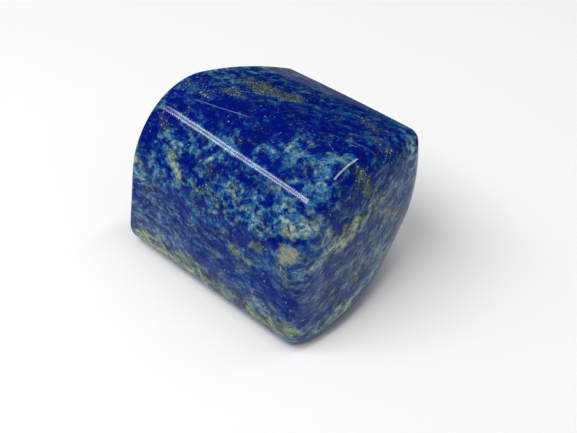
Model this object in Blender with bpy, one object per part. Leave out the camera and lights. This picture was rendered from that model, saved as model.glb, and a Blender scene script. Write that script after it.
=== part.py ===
"""Polished lapis lazuli: a palm-sized block of the rock, ground to seven soft faces and polished.

Run it with  blender --background --python part.py  or from Blender's text editor.
Units are metres, +Z is up. The stone lies on its flat foot at z = 0 with its length along X,
and the middle of its plan stands over the origin.

The block is made as a lapidary makes it. A sawn block is ground on a wheel, one broad face
after another, and each new face is rolled into the ones before it. Every face is a rule:
how far it stands from a point inside the stone, which way it looks, and how much it bows.
"""
import math
from collections import namedtuple

import bmesh
import bpy
from mathutils import Vector

MM = 0.001
FLAT = math.inf

# A ground face. compass is the way it looks, in degrees round +Z from +X, and pitch is how far
# it looks above the horizontal. reach is the distance of its crown from the grinding point.
# bow_side and bow_up are the radii of its outward curve, sideways and upwards on the face.
# edge is the radius that rolls it into the faces ground before it.
GroundFace = namedtuple("GroundFace", "compass pitch reach bow_side bow_up edge")

# The long back of the stone, straight along its length and gently rounded across it.
TOP = GroundFace(98, 83, 21.4 * MM, FLAT, 100 * MM, 0)
# The broad front, rolled into the top by a big barrel that has no ridge line.
FRONT = GroundFace(-90, 12, 22.0 * MM, FLAT, FLAT, 20.5 * MM)
# The rear side meets the top in the crispest long edge, and runs a little askew.
REAR = GroundFace(83, 2, 28.6 * MM, FLAT, 400 * MM, 1.2 * MM)
# A slanting facet that takes away the low corner between the rear and the near end.
HEEL = GroundFace(32, -24, 28.4 * MM, 130 * MM, FLAT, 8.5 * MM)
# The foot that the stone rests on: truly flat, with a wide roll all round it.
FOOT = GroundFace(0, -90, 19.6 * MM, FLAT, FLAT, 6.5 * MM)
# The near end is a shallow dome.
NEAR_END = GroundFace(2, 8, 27.4 * MM, 120 * MM, 180 * MM, 4.5 * MM)
# The far end is almost flat, and its edge was hardly broken.
FAR_END = GroundFace(176, -4, 34.0 * MM, 500 * MM, FLAT, 1.2 * MM)

LONG_FACES = (TOP, FRONT, REAR, FOOT)
ALL_FACES = (TOP, FRONT, REAR, HEEL, FOOT, NEAR_END, FAR_END)

# The point inside the stone that every reach is measured from.
GRINDING_POINT = Vector((3.65, -3.56, 19.60)) * MM

# The sawn bar before its ends are ground: where it ends, and the shape of its section, whose
# corners look towards the long edges of the stone.
BAR_START = -34.0 * MM
BAR_END = 28.0 * MM
BAR_WIDTH_TO_HEIGHT = 1.78

# Squares along, across and up the bar, and how strongly they gather towards its edges: the
# outermost squares are cos(GATHER) as wide as the middle ones.
SQUARES = (32, 28, 20)
GATHER = math.radians(62)

# Grinding starts this far out, and stops when a point is this close to the finished surface.
FAR_OUT = 60.0 * MM
GRINDING_ACCURACY = 1e-8
MOST_GRINDING_STEPS = 200

STONE_BLUE = (0.057, 0.092, 0.196, 1.0)
POLISH_ROUGHNESS = 0.12


def clear_the_scene():
    """Remove every object, so that the file can be run again and again."""
    for old in list(bpy.data.objects):
        bpy.data.objects.remove(old, do_unlink=True)


def face_directions(face):
    """Three directions of a ground face: out of the stone, sideways, and up along it."""
    compass = math.radians(face.compass)
    pitch = math.radians(face.pitch)
    level = math.cos(pitch)
    out = Vector((math.cos(compass) * level, math.sin(compass) * level, math.sin(pitch)))
    side = Vector((-math.sin(compass), math.cos(compass), 0.0))
    return out, side, out.cross(side)


DIRECTIONS = {face: face_directions(face) for face in ALL_FACES}


def rolled_join(before, new, edge):
    """Join two heights over the surface, with a quarter round of the given radius."""
    round_part = math.hypot(max(before + edge, 0.0), max(new + edge, 0.0))
    return min(max(before, new), -edge) + round_part


def stock_left(point, faces):
    """How much stone still has to be ground away at a point. Zero on the surface."""
    left = None
    for face in faces:
        out, side, up = DIRECTIONS[face]
        bow = point.dot(side) ** 2 / (2 * face.bow_side) + point.dot(up) ** 2 / (2 * face.bow_up)
        height = point.dot(out) - face.reach + bow
        left = height if left is None else rolled_join(left, height, face.edge)
    return left


def ground_down(point, inwards, faces):
    """Move a point inwards until it lies on the surface that the faces make."""
    for _ in range(MOST_GRINDING_STEPS):
        left = stock_left(point, faces)
        if abs(left) < GRINDING_ACCURACY:
            break
        point = point + inwards * left
    return point


def gathered(step, steps):
    """Place of a grid line between -1 and 1, with the lines gathered towards both ends."""
    return math.sin((2 * step / steps - 1) * GATHER) / math.sin(GATHER)


def bar_point(lattice):
    """Place of a lattice point on the bar once its long faces are ground, its ends still sawn."""
    along, across, upward = (gathered(step, steps) for step, steps in zip(lattice, SQUARES))
    x = BAR_START + (BAR_END - BAR_START) * (0.5 + 0.5 * along)
    outwards = Vector((0.0, across * BAR_WIDTH_TO_HEIGHT, upward)).normalized()
    skin = ground_down(Vector((x, 0.0, 0.0)) + outwards * FAR_OUT, -outwards, LONG_FACES)
    share = max(abs(across), abs(upward))
    return Vector((x, skin.y * share, skin.z * share))


def stone_point(lattice):
    """Place of a lattice point on the finished stone."""
    sawn = bar_point(lattice)
    return GRINDING_POINT + ground_down(sawn, -sawn.normalized(), ALL_FACES)


def block_squares():
    """The squares on the six sides of the bar, each as four lattice points, facing out."""
    for axis in range(3):
        right, up = (axis + 1) % 3, (axis + 2) % 3
        for level in (0, SQUARES[axis]):
            for i in range(SQUARES[right]):
                for j in range(SQUARES[up]):
                    square = []
                    for step_right, step_up in ((0, 0), (1, 0), (1, 1), (0, 1)):
                        lattice = [0, 0, 0]
                        lattice[axis] = level
                        lattice[right] = i + step_right
                        lattice[up] = j + step_up
                        square.append(tuple(lattice))
                    yield square if level else square[::-1]


def grind_stone():
    """The mesh of the finished stone, one closed skin."""
    shape = bmesh.new()
    ground = {}
    for square in block_squares():
        for lattice in square:
            if lattice not in ground:
                ground[lattice] = shape.verts.new(stone_point(lattice))
        shape.faces.new([ground[lattice] for lattice in square])
    bmesh.ops.triangulate(shape, faces=shape.faces[:])
    mesh = bpy.data.meshes.new("lapis_stone")
    shape.to_mesh(mesh)
    shape.free()
    mesh.shade_smooth()
    return mesh


def polished_lapis():
    """Deep blue rock with a glassy hand polish."""
    material = bpy.data.materials.new("polished_lapis_lazuli")
    material.use_nodes = True
    surface = material.node_tree.nodes["Principled BSDF"]
    surface.inputs["Base Color"].default_value = STONE_BLUE
    surface.inputs["Roughness"].default_value = POLISH_ROUGHNESS
    surface.inputs["Metallic"].default_value = 0.0
    return material


def make_stone():
    """The one piece: the block of lapis, resting on its foot."""
    stone = bpy.data.objects.new("lapis_stone", grind_stone())
    stone.data.materials.append(polished_lapis())
    bpy.context.scene.collection.objects.link(stone)


clear_the_scene()
make_stone()
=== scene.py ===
# %% [markdown]
# # A polished lapis lazuli
#
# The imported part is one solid, `lapis_stone`: a palm-sized block of rock, ground to seven soft
# faces and polished by hand. This script gives it its looks. It loads the solid as a fixed
# frame, grinds the same block again with a much finer skin, fills it with the blue, white and
# gold pattern of lapis lazuli, sets grains of pyrite into it, and lights it for the camera.

import math
from collections import namedtuple

import bpy
import numpy as np
from mathutils import Matrix, Vector
from mathutils.bvhtree import BVHTree


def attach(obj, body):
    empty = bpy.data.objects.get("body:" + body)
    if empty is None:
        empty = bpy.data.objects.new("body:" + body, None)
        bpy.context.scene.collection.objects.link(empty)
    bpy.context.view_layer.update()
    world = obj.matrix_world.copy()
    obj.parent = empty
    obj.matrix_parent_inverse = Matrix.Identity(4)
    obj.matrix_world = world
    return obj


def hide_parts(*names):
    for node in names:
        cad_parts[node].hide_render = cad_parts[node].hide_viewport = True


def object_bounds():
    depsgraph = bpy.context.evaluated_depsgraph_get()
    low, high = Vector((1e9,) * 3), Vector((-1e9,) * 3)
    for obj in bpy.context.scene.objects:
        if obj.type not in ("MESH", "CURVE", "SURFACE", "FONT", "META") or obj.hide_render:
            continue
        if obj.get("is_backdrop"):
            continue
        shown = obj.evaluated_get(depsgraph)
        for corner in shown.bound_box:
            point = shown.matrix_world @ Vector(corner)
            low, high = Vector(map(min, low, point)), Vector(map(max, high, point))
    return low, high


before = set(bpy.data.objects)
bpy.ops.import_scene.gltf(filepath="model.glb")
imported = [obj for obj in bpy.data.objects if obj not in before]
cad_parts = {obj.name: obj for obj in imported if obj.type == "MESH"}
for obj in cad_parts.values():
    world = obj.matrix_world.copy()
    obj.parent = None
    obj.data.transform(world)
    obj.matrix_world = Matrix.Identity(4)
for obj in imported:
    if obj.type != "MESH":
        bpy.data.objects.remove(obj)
CAD_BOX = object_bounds()
MM = 0.001
print("CAD box in mm:", [[round(value / MM, 2) for value in corner] for corner in CAD_BOX])

# %% [markdown]
# ## Two small helpers
#
# Every tree below is built by one function that adds a node, gives it its settings, and joins
# or fills its inputs. Colours are written as sRGB hex codes, the way a colour picker shows
# them, and one function turns them into the linear light that Blender works in.

# %% Helpers for trees and colours
def add_node(tree, kind, inputs=None, **settings):
    """Add a node. An input takes a plain value, a socket, or a node for its first output."""
    node = tree.nodes.new(kind)
    for setting, value in settings.items():
        setattr(node, setting, value)
    for socket, value in (inputs or {}).items():
        if isinstance(value, bpy.types.Node):
            value = next(output for output in value.outputs if output.enabled)
        if isinstance(value, bpy.types.NodeSocket):
            tree.links.new(value, node.inputs[socket])
        else:
            node.inputs[socket].default_value = value
    return node


def linear(hex_code):
    """Turn an sRGB hex code into linear red, green, blue and alpha."""
    channels = [int(hex_code[place:place + 2], 16) / 255 for place in (1, 3, 5)]
    light = [c / 12.92 if c <= 0.04045 else ((c + 0.055) / 1.055) ** 2.4 for c in channels]
    return (*light, 1.0)


print("Mid grey #808080 is", round(linear("#808080")[0], 3), "in linear light")

# %% [markdown]
# ## The rule of the block
#
# A stone like this is ground on a wheel, one broad face after another, and each face is rolled
# into the ones before it. A box could be bevelled and bulged until it looks alike, or the block
# could be sculpted, but only the grinding itself gives faces that are true from edge to edge and
# run into each other as they do on the stone. So the block is a rule: each face has a direction,
# a distance from one point inside the stone, a bow sideways and upwards, and an edge radius. The
# sizes are the part's own in millimetres and degrees, written again because this script reads
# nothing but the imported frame.

# %% The ground faces, in the order of grinding
# A face looks along its compass, in degrees round +Z from +X, and its pitch above the horizontal.
# Its crown stands its reach from the grinding point. The bows are the radii of its outward curve,
# and the edge is the radius that rolls it into the faces before it.
GroundFace = namedtuple("GroundFace", "compass pitch reach bow_sideways bow_upwards edge")
FLAT = math.inf
FACES = {
    # The long back of the stone, straight along its length and gently rounded across it.
    "Top": GroundFace(98, 83, 21.4, FLAT, 100, 0),
    # The broad front is rolled into the top by a big barrel that has no ridge line.
    "Front": GroundFace(-90, 12, 22.0, FLAT, FLAT, 20.5),
    # The rear side meets the top in the crispest long edge.
    "Rear": GroundFace(83, 2, 28.6, FLAT, 400, 1.2),
    # A slanting facet takes away the low corner between the rear and the near end.
    "Heel": GroundFace(32, -24, 28.4, 130, FLAT, 8.5),
    # The foot that the stone rests on is truly flat.
    "Foot": GroundFace(0, -90, 19.6, FLAT, FLAT, 6.5),
    # The near end is a shallow dome.
    "Near end": GroundFace(2, 8, 27.4, 120, 180, 4.5),
    # The far end is almost flat, and its edge was hardly broken.
    "Far end": GroundFace(176, -4, 34.0, 500, FLAT, 1.2),
}
LONG_FACES = ("Top", "Front", "Rear", "Foot")
GRINDING_POINT = Vector((3.65, -3.56, 19.60)) * MM
for name, face in FACES.items():
    print(f"{name}: {face.reach} mm from the grinding point, edge radius {face.edge} mm")

# %% [markdown]
# ## One wheel pass as a node group
#
# Geometry Nodes suit a shape that follows a rule: the sizes stay open in the modifier, and the
# skin can be as fine as wanted. This group answers one question for a point in space: how much
# stone is left above it once this face has been ground, given what the faces before it left.
# Turning the point by the compass and the pitch makes its three numbers the distances out,
# sideways and upwards on the face, so the bow is only two squares.

# %% How high a point stands over one face
def height_over_face(group, given):
    """How far a point stands over a face that falls away by its two bows."""
    west = add_node(group, "ShaderNodeMath", {0: given["Compass"], 1: -1.0},
                    operation="MULTIPLY")
    facing = add_node(group, "ShaderNodeVectorRotate", {"Vector": given["Point"], "Angle": west},
                      rotation_type="Z_AXIS")
    level = add_node(group, "ShaderNodeVectorRotate", {"Vector": facing, "Angle": given["Pitch"]},
                     rotation_type="Y_AXIS")
    out = add_node(group, "ShaderNodeSeparateXYZ", {0: level}).outputs["X"]
    squares = add_node(group, "ShaderNodeVectorMath", {0: level, 1: level}, operation="MULTIPLY")
    bows = add_node(group, "ShaderNodeCombineXYZ", {
        "Y": given["Bow sideways"], "Z": given["Bow upwards"]})
    two_falls = add_node(group, "ShaderNodeVectorMath", {0: squares, 1: bows},
                         operation="DOT_PRODUCT")
    bowed = add_node(group, "ShaderNodeMath", {0: two_falls, 1: 0.5, 2: out},
                     operation="MULTIPLY_ADD")
    return add_node(group, "ShaderNodeMath", {0: bowed, 1: given["Reach"]},
                    operation="SUBTRACT")


# %% Roll a face into the ones before it
def rolled_join(group, before, new, edge):
    """The higher of two heights, or the quarter round that joins them near their edge."""
    highest = add_node(group, "ShaderNodeMath", {0: before, 1: new}, operation="MAXIMUM")
    edge_inwards = add_node(group, "ShaderNodeMath", {0: edge, 1: -1.0}, operation="MULTIPLY")
    inner = add_node(group, "ShaderNodeMath", {0: highest, 1: edge_inwards}, operation="MINIMUM")
    both = add_node(group, "ShaderNodeCombineXYZ", {"X": before, "Y": new})
    edges = add_node(group, "ShaderNodeCombineXYZ", {"X": edge, "Y": edge})
    over = add_node(group, "ShaderNodeVectorMath", {0: both, 1: edges}, operation="ADD")
    over = add_node(group, "ShaderNodeVectorMath", {0: over, 1: (0.0, 0.0, 0.0)},
                    operation="MAXIMUM")
    quarter_round = add_node(group, "ShaderNodeVectorMath", {0: over}, operation="LENGTH")
    return add_node(group, "ShaderNodeMath", {0: inner, 1: quarter_round}, operation="ADD")


# %% The group for one ground face
def grinding_group():
    """A node group: the stock left over a point after one more face has been ground."""
    group = bpy.data.node_groups.new("one ground face", "GeometryNodeTree")
    sockets = group.interface
    sockets.new_socket("Point", in_out="INPUT", socket_type="NodeSocketVector")
    for name in ("Before", "Compass", "Pitch", "Reach", "Bow sideways", "Bow upwards", "Edge"):
        sockets.new_socket(name, in_out="INPUT", socket_type="NodeSocketFloat")
    sockets.new_socket("Left", in_out="OUTPUT", socket_type="NodeSocketFloat")

    given = add_node(group, "NodeGroupInput").outputs
    new = height_over_face(group, given)
    left = rolled_join(group, given["Before"], new, given["Edge"])
    add_node(group, "NodeGroupOutput", {"Left": left})
    return group


GRINDING = grinding_group()
print("One ground face takes", len(GRINDING.nodes), "nodes")

# %% [markdown]
# ## The whole block as a tree
#
# The stone starts as a grid cube whose lines gather towards its edges. First its four long faces
# are ground while the ends stay sawn, then all seven, in the part's own order. A point is moved
# by the stock that is left over it, again and again, in a Repeat zone, until nothing is left.
# Last, the polishing felt leaves the faces a few hundredths of a millimetre out of true. Those
# dips only go inwards, so the stone stays inside its CAD box, and the foot keeps its plane.

# %% The sizes of the block
BLOCK_SIZES = {
    "Squares along": 150,
    "Squares across": 130,
    "Squares up": 96,
    "Gather": math.radians(62),
    "Bar start": -34.0 * MM,
    "Bar end": 28.0 * MM,
    "Bar width to height": 1.78,
    "Starting distance": 60.0 * MM,
    "Wheel passes": 70,
    "Grinding point": GRINDING_POINT,
    "Taken by polishing": 0.065 * MM,
    "Polishing dips": 0.02 * MM,
    "Dip width": 12.0 * MM,
    "Left flat below": 0.1 * MM,
    "Fully polished above": 2.0 * MM,
}
# A bow goes in as one over its radius, so that a flat face has a bow of zero.
for name, face in FACES.items():
    BLOCK_SIZES |= {
        f"{name} compass": math.radians(face.compass),
        f"{name} pitch": math.radians(face.pitch),
        f"{name} reach": face.reach * MM,
        f"{name} bow sideways": 1 / (face.bow_sideways * MM),
        f"{name} bow upwards": 1 / (face.bow_upwards * MM),
        f"{name} edge": face.edge * MM,
    }
print("The block's tree has", len(BLOCK_SIZES), "named sizes")

# %% [markdown]
# The sizes could be typed into the nodes, but then they would be hard to find and change later.
# Each one is an input of the tree instead, with a name that shows in the modifier.

# %% Open a tree's inputs
SOCKET_TYPES = {int: "NodeSocketInt", float: "NodeSocketFloat", Vector: "NodeSocketVector"}


def open_inputs(tree, sizes):
    """Give a Geometry Nodes tree one named input for each size, and one for its material."""
    for name, size in sizes.items():
        tree.interface.new_socket(name, in_out="INPUT", socket_type=SOCKET_TYPES[type(size)])
    tree.interface.new_socket("Material", in_out="INPUT", socket_type="NodeSocketMaterial")
    tree.interface.new_socket("Geometry", in_out="OUTPUT", socket_type="NodeSocketGeometry")


# %% [markdown]
# ### Grinding
#
# To find the skin in one step, the whole rule would have to be solved for every point. Grinding
# needs no such sum. The stock left over a point is at most about its distance from the skin, so a
# move inwards by that much doesn't cut too deep, and after some dozens of moves it ends there.

# %% Grind inside a tree
# More stock than any face could leave, for the first face to replace.
NEVER_GROUND = 1000.0
# Ways in which a point may move while it is ground: across the bar alone, or freely.
ACROSS_THE_BAR = (0.0, 1.0, 1.0)
FREELY = (1.0, 1.0, 1.0)


def stock_left(tree, point, given, names):
    """Chain one grinding group for each named face, and return the stock left over a point."""
    left = -NEVER_GROUND
    for name in names:
        sizes = {size: given[f"{name} {size.lower()}"] for size in (
            "Compass", "Pitch", "Reach", "Bow sideways", "Bow upwards", "Edge")}
        left = add_node(tree, "GeometryNodeGroup", {"Point": point, "Before": left} | sizes,
                        node_tree=GRINDING)
    return left


def grind(tree, geometry, given, names, free_ways):
    """A Repeat zone that moves every point inwards until the named faces leave no stock."""
    start = tree.nodes.new("GeometryNodeRepeatInput")
    end = tree.nodes.new("GeometryNodeRepeatOutput")
    start.pair_with_output(end)
    tree.links.new(given["Wheel passes"], start.inputs["Iterations"])
    tree.links.new(geometry.outputs[0], start.inputs["Geometry"])
    place = add_node(tree, "GeometryNodeInputPosition")
    radius = add_node(tree, "ShaderNodeVectorMath", {0: place, 1: free_ways},
                      operation="MULTIPLY")
    outwards = add_node(tree, "ShaderNodeVectorMath", {0: radius}, operation="NORMALIZE")
    left = stock_left(tree, place, given, names)
    inwards = add_node(tree, "ShaderNodeMath", {0: left, 1: -1.0}, operation="MULTIPLY")
    move = add_node(tree, "ShaderNodeVectorMath", {0: outwards, "Scale": inwards},
                    operation="SCALE")
    moved = add_node(tree, "GeometryNodeSetPosition", {
        "Geometry": start.outputs["Geometry"], "Offset": move})
    tree.links.new(moved.outputs[0], end.inputs["Geometry"])
    return end


# %% [markdown]
# ### The bar
#
# A real block starts as a sawn bar. Here it is a cube of squares whose points are laid round the
# bar's axis, far out. The cube's lines gather towards its edges, where the skin turns most, so
# the round edges get the finest squares and the flat faces the widest.

# %% Gather the lines of a cube
def gathered_cube(tree, given):
    """A grid cube, and places between -1 and 1 for its points, gathered towards its edges."""
    lines = {f"Vertices {axis}": add_node(
        tree, "ShaderNodeMath", {0: given[f"Squares {way}"], 1: 1.0}, operation="ADD")
        for axis, way in zip("XYZ", ("along", "across", "up"))}
    cube = add_node(tree, "GeometryNodeMeshCube", {"Size": (2.0, 2.0, 2.0)} | lines)
    place = add_node(tree, "GeometryNodeInputPosition")
    even = add_node(tree, "ShaderNodeVectorMath", {0: place, "Scale": given["Gather"]},
                    operation="SCALE")
    waves = add_node(tree, "ShaderNodeVectorMath", {0: even}, operation="SINE")
    widest = add_node(tree, "ShaderNodeMath", {0: given["Gather"]}, operation="SINE")
    shrink = add_node(tree, "ShaderNodeMath", {0: 1.0, 1: widest}, operation="DIVIDE")
    gathered = add_node(tree, "ShaderNodeVectorMath", {0: waves, "Scale": shrink},
                        operation="SCALE")
    return cube, gathered


# %% Lay the cube round the bar
def sawn_bar(tree, given, cube, gathered):
    """The cube's points laid out round the bar, and each one's share of the bar's radius."""
    along, across, up = add_node(tree, "ShaderNodeSeparateXYZ", {0: gathered}).outputs
    sizes = add_node(tree, "ShaderNodeVectorMath", {0: gathered}, operation="ABSOLUTE")
    _, width, height = add_node(tree, "ShaderNodeSeparateXYZ", {0: sizes}).outputs
    share = add_node(tree, "ShaderNodeMath", {0: width, 1: height}, operation="MAXIMUM")
    kept = add_node(tree, "GeometryNodeCaptureAttribute", {"Geometry": cube.outputs["Mesh"]})
    kept.capture_items.new("FLOAT", "Share of the radius")
    tree.links.new(share.outputs[0], kept.inputs["Share of the radius"])

    x = add_node(tree, "ShaderNodeMapRange", {
        "Value": along, "From Min": -1.0, "From Max": 1.0, "To Min": given["Bar start"],
        "To Max": given["Bar end"]})
    wide = add_node(tree, "ShaderNodeMath", {0: across, 1: given["Bar width to height"]},
                    operation="MULTIPLY")
    spoke = add_node(tree, "ShaderNodeCombineXYZ", {"Y": wide, "Z": up})
    outwards = add_node(tree, "ShaderNodeVectorMath", {0: spoke}, operation="NORMALIZE")
    far_out = add_node(tree, "ShaderNodeVectorMath", {
        0: outwards, "Scale": given["Starting distance"]}, operation="SCALE")
    on_axis = add_node(tree, "ShaderNodeCombineXYZ", {"X": x})
    start = add_node(tree, "ShaderNodeVectorMath", {0: on_axis, 1: far_out}, operation="ADD")
    bar = add_node(tree, "GeometryNodeSetPosition", {"Geometry": kept, "Position": start})
    return bar, kept.outputs["Share of the radius"]


# %% [markdown]
# ### The felt
#
# Felt is soft and gives way, so a face polished by hand is never quite true, and a lamp that it
# mirrors wavers a little. A bump in the material would look alike in a picture, but the exported
# mesh would stay perfect, so the skin itself is moved.

# %% Polish on felt
def felted(tree, given, ground):
    """The ground block with the little that the felt takes off, except at its flat foot."""
    surface = add_node(tree, "GeometryNodeInputPosition")
    height = add_node(tree, "ShaderNodeSeparateXYZ", {0: surface}).outputs["Z"]
    lifted = add_node(tree, "ShaderNodeMapRange", {
        "Value": height, "From Min": given["Left flat below"],
        "From Max": given["Fully polished above"]}, interpolation_type="SMOOTHSTEP")
    scale = add_node(tree, "ShaderNodeMath", {0: 1.0, 1: given["Dip width"]}, operation="DIVIDE")
    dips = add_node(tree, "ShaderNodeTexNoise", {"Vector": surface, "Scale": scale, "Detail": 1.0})
    taken = add_node(tree, "ShaderNodeMath", {
        0: dips, 1: given["Polishing dips"], 2: given["Taken by polishing"]},
        operation="MULTIPLY_ADD")
    depth = add_node(tree, "ShaderNodeMath", {0: taken, 1: lifted}, operation="MULTIPLY")
    downwards = add_node(tree, "ShaderNodeMath", {0: depth, 1: -1.0}, operation="MULTIPLY")
    normal = add_node(tree, "GeometryNodeInputNormal")
    sink = add_node(tree, "ShaderNodeVectorMath", {0: normal, "Scale": downwards},
                    operation="SCALE")
    return add_node(tree, "GeometryNodeSetPosition", {"Geometry": ground, "Offset": sink})


# %% The whole tree: the bar, the ends, the polish
def block_tree():
    """The Geometry Nodes tree of the ground and polished block."""
    tree = bpy.data.node_groups.new("ground lapis block", "GeometryNodeTree")
    open_inputs(tree, BLOCK_SIZES)
    given = add_node(tree, "NodeGroupInput").outputs
    cube, gathered = gathered_cube(tree, given)
    rough_bar, share = sawn_bar(tree, given, cube, gathered)
    bar = grind(tree, rough_bar, given, LONG_FACES, ACROSS_THE_BAR)

    skin = add_node(tree, "GeometryNodeInputPosition")
    inside = add_node(tree, "ShaderNodeCombineXYZ", {"X": 1.0, "Y": share, "Z": share})
    sawn_end = add_node(tree, "ShaderNodeVectorMath", {0: skin, 1: inside}, operation="MULTIPLY")
    sawn = add_node(tree, "GeometryNodeSetPosition", {"Geometry": bar, "Position": sawn_end})
    ground = grind(tree, sawn, given, tuple(FACES), FREELY)
    placed = add_node(tree, "GeometryNodeSetPosition", {
        "Geometry": ground, "Offset": given["Grinding point"]})
    smooth = add_node(tree, "GeometryNodeSetShadeSmooth", {
        "Geometry": felted(tree, given, placed)})
    real = add_node(tree, "GeometryNodeRealizeInstances", {"Geometry": smooth})
    dressed = add_node(tree, "GeometryNodeSetMaterial", {
        "Geometry": real, "Material": given["Material"]})
    add_node(tree, "NodeGroupOutput", {"Geometry": dressed})
    return tree


# %% [markdown]
# ### From tree to mesh
#
# The library wants plain meshes that ride on a body, and its export drops what a tree only
# repeats. So the tree runs once as a modifier, its result is kept as a mesh, and the modifier is
# taken off again. An input is set by its socket's identifier, which stays the same whatever the
# input is called.

# %% Run a tree and keep its mesh
def made_by(tree, name, sizes, material, carrier=None):
    """Run a tree on a carrier's mesh with its inputs set, and keep the result as one object."""
    base = carrier.data.copy() if carrier else bpy.data.meshes.new(name)
    worker = bpy.data.objects.new(name, base)
    bpy.context.scene.collection.objects.link(worker)
    modifier = worker.modifiers.new(tree.name, "NODES")
    modifier.node_group = tree
    settings = sizes | {"Material": material}
    for item in tree.interface.items_tree:
        if item.in_out == "INPUT" and item.name in settings:
            modifier[item.identifier] = settings[item.name]
    worker.update_tag()
    evaluated = worker.evaluated_get(bpy.context.evaluated_depsgraph_get())
    mesh = bpy.data.meshes.new_from_object(evaluated)
    worker.modifiers.remove(modifier)
    worker.data = mesh
    mesh.name = name
    return worker


lapis = bpy.data.materials.new("polished_lapis_lazuli")
stone = made_by(block_tree(), "lapis_block", BLOCK_SIZES, lapis)
print("The block has", len(stone.data.vertices), "points and",
      sum(len(face.vertices) - 2 for face in stone.data.polygons), "triangles")
low, high = Vector(stone.bound_box[0]), Vector(stone.bound_box[6])
print("It spans, in mm:", [round(value / MM, 3) for value in (*low, *high)])

# %% [markdown]
# ## The camera
#
# The camera stands where the photograph was taken from: about 27 cm away, to the right of the
# front and looking 36 degrees down. So close a camera makes the near end look bigger than the
# far one, which is why its distance matters as much as its angle. The lens follows from the
# distance and from how many pixels a millimetre of the stone takes up.

# %% Set up the camera
PHOTO_WIDTH = 577
PHOTO_HEIGHT = 433
CAMERA_AZIMUTH = math.radians(45.5)
CAMERA_ELEVATION = math.radians(36.0)
CAMERA_DISTANCE = 270 * MM
AIM_POINT = Vector((5.8, -5.7, 15.4)) * MM
PIXELS_PER_MM = 4.0

level = math.cos(CAMERA_ELEVATION)
camera_side = Vector((math.sin(CAMERA_AZIMUTH) * level, -math.cos(CAMERA_AZIMUTH) * level,
                      math.sin(CAMERA_ELEVATION)))
camera = bpy.data.objects.new("camera", bpy.data.cameras.new("camera"))
bpy.context.scene.collection.objects.link(camera)
bpy.context.scene.camera = camera
camera.location = GRINDING_POINT + camera_side * CAMERA_DISTANCE
camera.rotation_mode = "QUATERNION"
camera.rotation_quaternion = (AIM_POINT - camera.location).to_track_quat("-Z", "Y")
focal_pixels = CAMERA_DISTANCE / MM * PIXELS_PER_MM
camera.data.lens = camera.data.sensor_width * focal_pixels / PHOTO_WIDTH
camera.data.clip_start = 10 * MM
print("Lens:", round(camera.data.lens, 1), "mm")

# %% [markdown]
# ## From the photograph to the stone
#
# The photograph tells where a cloud lies only as a pixel. A line from the camera through that
# pixel meets the skin of the stone at the place itself, on whichever face that is. A pixel just
# outside the outline meets nothing, and then the nearest place on the rim is found instead.

# %% Find places on the stone
STONE_SKIN = BVHTree.FromPolygons(
    [vertex.co for vertex in stone.data.vertices],
    [tuple(face.vertices) for face in stone.data.polygons])
STEPS_TO_THE_RIM = 12


def on_stone(spot):
    """A point of the stone, from a pixel of the photograph or from a place in millimetres."""
    if len(spot) == 3:
        return STONE_SKIN.find_nearest(Vector(spot) * MM)[0]
    right = (spot[0] - PHOTO_WIDTH / 2) / focal_pixels
    down = (spot[1] - PHOTO_HEIGHT / 2) / focal_pixels
    ray = (camera.rotation_quaternion @ Vector((right, -down, -1.0))).normalized()
    hit = STONE_SKIN.ray_cast(camera.location, ray)[0]
    if hit is None:
        hit = GRINDING_POINT
        for _ in range(STEPS_TO_THE_RIM):
            passing = camera.location + ray * ray.dot(hit - camera.location)
            hit = STONE_SKIN.find_nearest(passing)[0]
    return hit


seen = on_stone((PHOTO_WIDTH / 2, PHOTO_HEIGHT / 2))
print("The middle of the photograph shows, in mm:", [round(value / MM, 1) for value in seen])
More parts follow.
